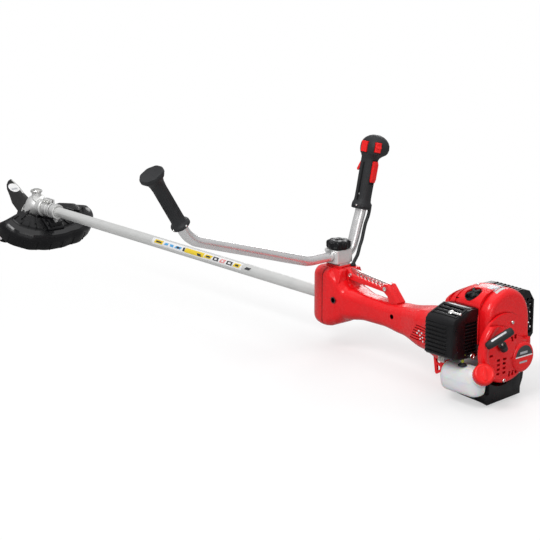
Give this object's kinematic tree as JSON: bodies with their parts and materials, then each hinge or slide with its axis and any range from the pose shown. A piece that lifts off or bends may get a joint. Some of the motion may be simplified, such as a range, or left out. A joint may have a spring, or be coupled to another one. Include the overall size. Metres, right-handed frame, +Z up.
{
  "type": "brush cutter",
  "caption": "Petrol brush cutter: straight shaft, wide handlebar, toothed knife with debris guard, rear two-stroke engine with recoil starter and tank.",
  "frame": {"origin": "centre of the flat underside of the engine foot", "axes": "+X rearward along the main tube, +Y the operator's right, +Z up"},
  "size_m": [1.9753, 0.7137, 0.5005],
  "materials": {
    "tube_alu": "drawn aluminium, lightly polished",
    "steel": "machined steel",
    "bearing_steel": "ground bearing steel",
    "cast_alu": "cast aluminium, shot blasted",
    "bracket_alu": "stamped aluminium, brushed",
    "guard_black": "moulded black plastic with a glossy ledge",
    "knife_black": "black painted spring steel with bare edges",
    "screw_zinc": "bright zinc plated",
    "cover_red": "glossy red moulding",
    "seal_black": "black rubber",
    "control_red": "satin red plastic",
    "grip_black": "soft dark grey grip",
    "housing_black": "fine grained black plastic",
    "cable_black": "black cable sleeve",
    "bar_alu": "satin anodised aluminium",
    "muffler_steel": "heat stained sheet steel",
    "filter_felt": "felt filter element",
    "bulb_clear": "translucent bulb",
    "rope_white": "braided cord",
    "tank_white": "translucent white tank",
    "hose_yellow": "translucent yellow-green hose",
    "plug_ceramic": "glazed ceramic"
  },
  "bodies": {
    "machine": {"main_tube": "tube_alu", "bearings": "bearing_steel", "gear_case": "cast_alu", "guard_bracket": "bracket_alu", "guard": "guard_black", "screws": "screw_zinc", "front_cap": "cover_red", "front_seal": "seal_black", "shell_left": "cover_red", "shell_right": "cover_red", "hanger_plate": "bracket_alu", "clamp_base": "bracket_alu", "cable_loop": "cable_black", "front_frame": "control_red", "clutch_housing": "housing_black", "clutch_hub": "cast_alu", "crankcase": "cast_alu", "crankshaft": "steel", "connecting_rod": "steel", "piston": "cast_alu", "cylinder_block": "cast_alu", "flywheel": "cast_alu", "spark_plug": "plug_ceramic", "plug_cap": "seal_black", "engine_cover": "cover_red", "muffler": "muffler_steel", "muffler_guard": "housing_black", "carburetor": "cast_alu", "air_filter": "filter_felt", "cleaner_cover": "housing_black", "starter_housing": "cover_red", "fuel_tank": "tank_white", "fuel_line": "hose_yellow", "foot": "housing_black"},
    "cutter": {"knife": "knife_black", "knife_mount": "steel", "output_shaft": "steel", "bevel_gear": "steel"},
    "drive_line": {"drive_shaft": "steel", "pinion": "steel", "clutch_drum": "steel"},
    "clamp_knob": {"knob": "housing_black"},
    "bars": {"clamp_halves": "bracket_alu", "handlebar": "bar_alu", "left_grip": "grip_black", "control_housing": "grip_black", "throttle_cable": "cable_black"},
    "trigger": {"throttle_trigger": "control_red"},
    "lockout": {"lockout_lever": "control_red"},
    "stop": {"stop_switch": "control_red"},
    "start": {"start_button": "control_red"},
    "shoe_top": {"clutch_shoe_top": "steel"},
    "shoe_bottom": {"clutch_shoe_bottom": "steel"},
    "latch": {"cleaner_knob": "screw_zinc"},
    "choke": {"choke_lever": "screw_zinc"},
    "primer": {"primer_bulb": "bulb_clear"},
    "pulley": {"starter_pulley": "cast_alu"},
    "pull": {"starter_handle": "housing_black", "starter_rope": "rope_white"},
    "tank_cap": {"fuel_cap": "control_red"}
  },
  "joints": [
    {"name": "blade_spin", "type": "hinge", "parent": "machine", "child": "cutter", "pos_m": [-1.712, 0, 0.115], "axis": [0.5736, 0, 0.8192], "continuous": true},
    {"name": "drive_spin", "type": "hinge", "parent": "machine", "child": "drive_line", "pos_m": [-0.912, 0, 0.115], "axis": [1, 0, 0], "continuous": true},
    {"name": "knob_turn", "type": "hinge", "parent": "bars", "child": "clamp_knob", "pos_m": [-0.459, 0, 0.24], "axis": [0, 0, 1], "continuous": true},
    {"name": "handlebar_swivel", "type": "hinge", "parent": "machine", "child": "bars", "pos_m": [-0.459, 0, 0.205], "axis": [0, 0, -1], "range_deg": [0, 90], "deforming": ["cable_loop"]},
    {"name": "throttle_pull", "type": "hinge", "parent": "bars", "child": "trigger", "pos_m": [-0.471, 0.09689, 0.43582], "axis": [0, -0.9744, 0.225], "range_deg": [0, 15], "stiffness_Nm_per_rad": 0.02},
    {"name": "lockout_press", "type": "hinge", "parent": "bars", "child": "lockout", "pos_m": [-0.4382, 0.09352, 0.42121], "axis": [0, 0.9744, -0.225], "range_deg": [0, 3], "stiffness_Nm_per_rad": 0.02},
    {"name": "stop_slide", "type": "slide", "parent": "bars", "child": "stop", "axis": [0, -0.225, -0.9744], "range_m": [0, 0.006]},
    {"name": "start_press", "type": "slide", "parent": "bars", "child": "start", "axis": [0, 0.9744, -0.225], "range_m": [0, 0.003], "stiffness_N_per_m": 200},
    {"name": "shoe_top_slide", "type": "slide", "parent": "machine", "child": "shoe_top", "axis": [0, 0, 1], "range_m": [0, 0.0009], "stiffness_N_per_m": 4000},
    {"name": "shoe_bottom_slide", "type": "slide", "parent": "machine", "child": "shoe_bottom", "axis": [0, 0, -1], "range_m": [0, 0.0009], "stiffness_N_per_m": 4000},
    {"name": "latch_turn", "type": "hinge", "parent": "machine", "child": "latch", "pos_m": [0.0211, -0.062, 0.101], "axis": [1, 0, 0], "continuous": true},
    {"name": "choke_turn", "type": "hinge", "parent": "machine", "child": "choke", "pos_m": [-0.006, -0.096, 0.1949], "axis": [0, -0.3473, 0.9377], "range_deg": [0, 60]},
    {"name": "primer_press", "type": "slide", "parent": "machine", "child": "primer", "axis": [0, 1, 0], "range_m": [0, 0.003], "stiffness_N_per_m": 300},
    {"name": "starter_pull", "type": "slide", "parent": "machine", "child": "pull", "axis": [0.3377, -0.6685, 0.6626], "range_m": [0, 0.45], "stiffness_N_per_m": 10},
    {"name": "pulley_spin", "type": "hinge", "parent": "machine", "child": "pulley", "pos_m": [0.058, 0, 0.115], "axis": [1, 0, 0], "range_deg": [0, 840]},
    {"name": "tank_cap_turn", "type": "hinge", "parent": "machine", "child": "tank_cap", "pos_m": [0.084, -0.088, 0.082], "axis": [0.7208, -0.4212, 0.5505], "continuous": true}
  ],
  "couplings": [
    {"joint": "drive_spin", "follows": "blade_spin", "ratio": 1.3571},
    {"joint": "pulley_spin", "follows": "starter_pull", "rad_per_m": 32.258}
  ]
}
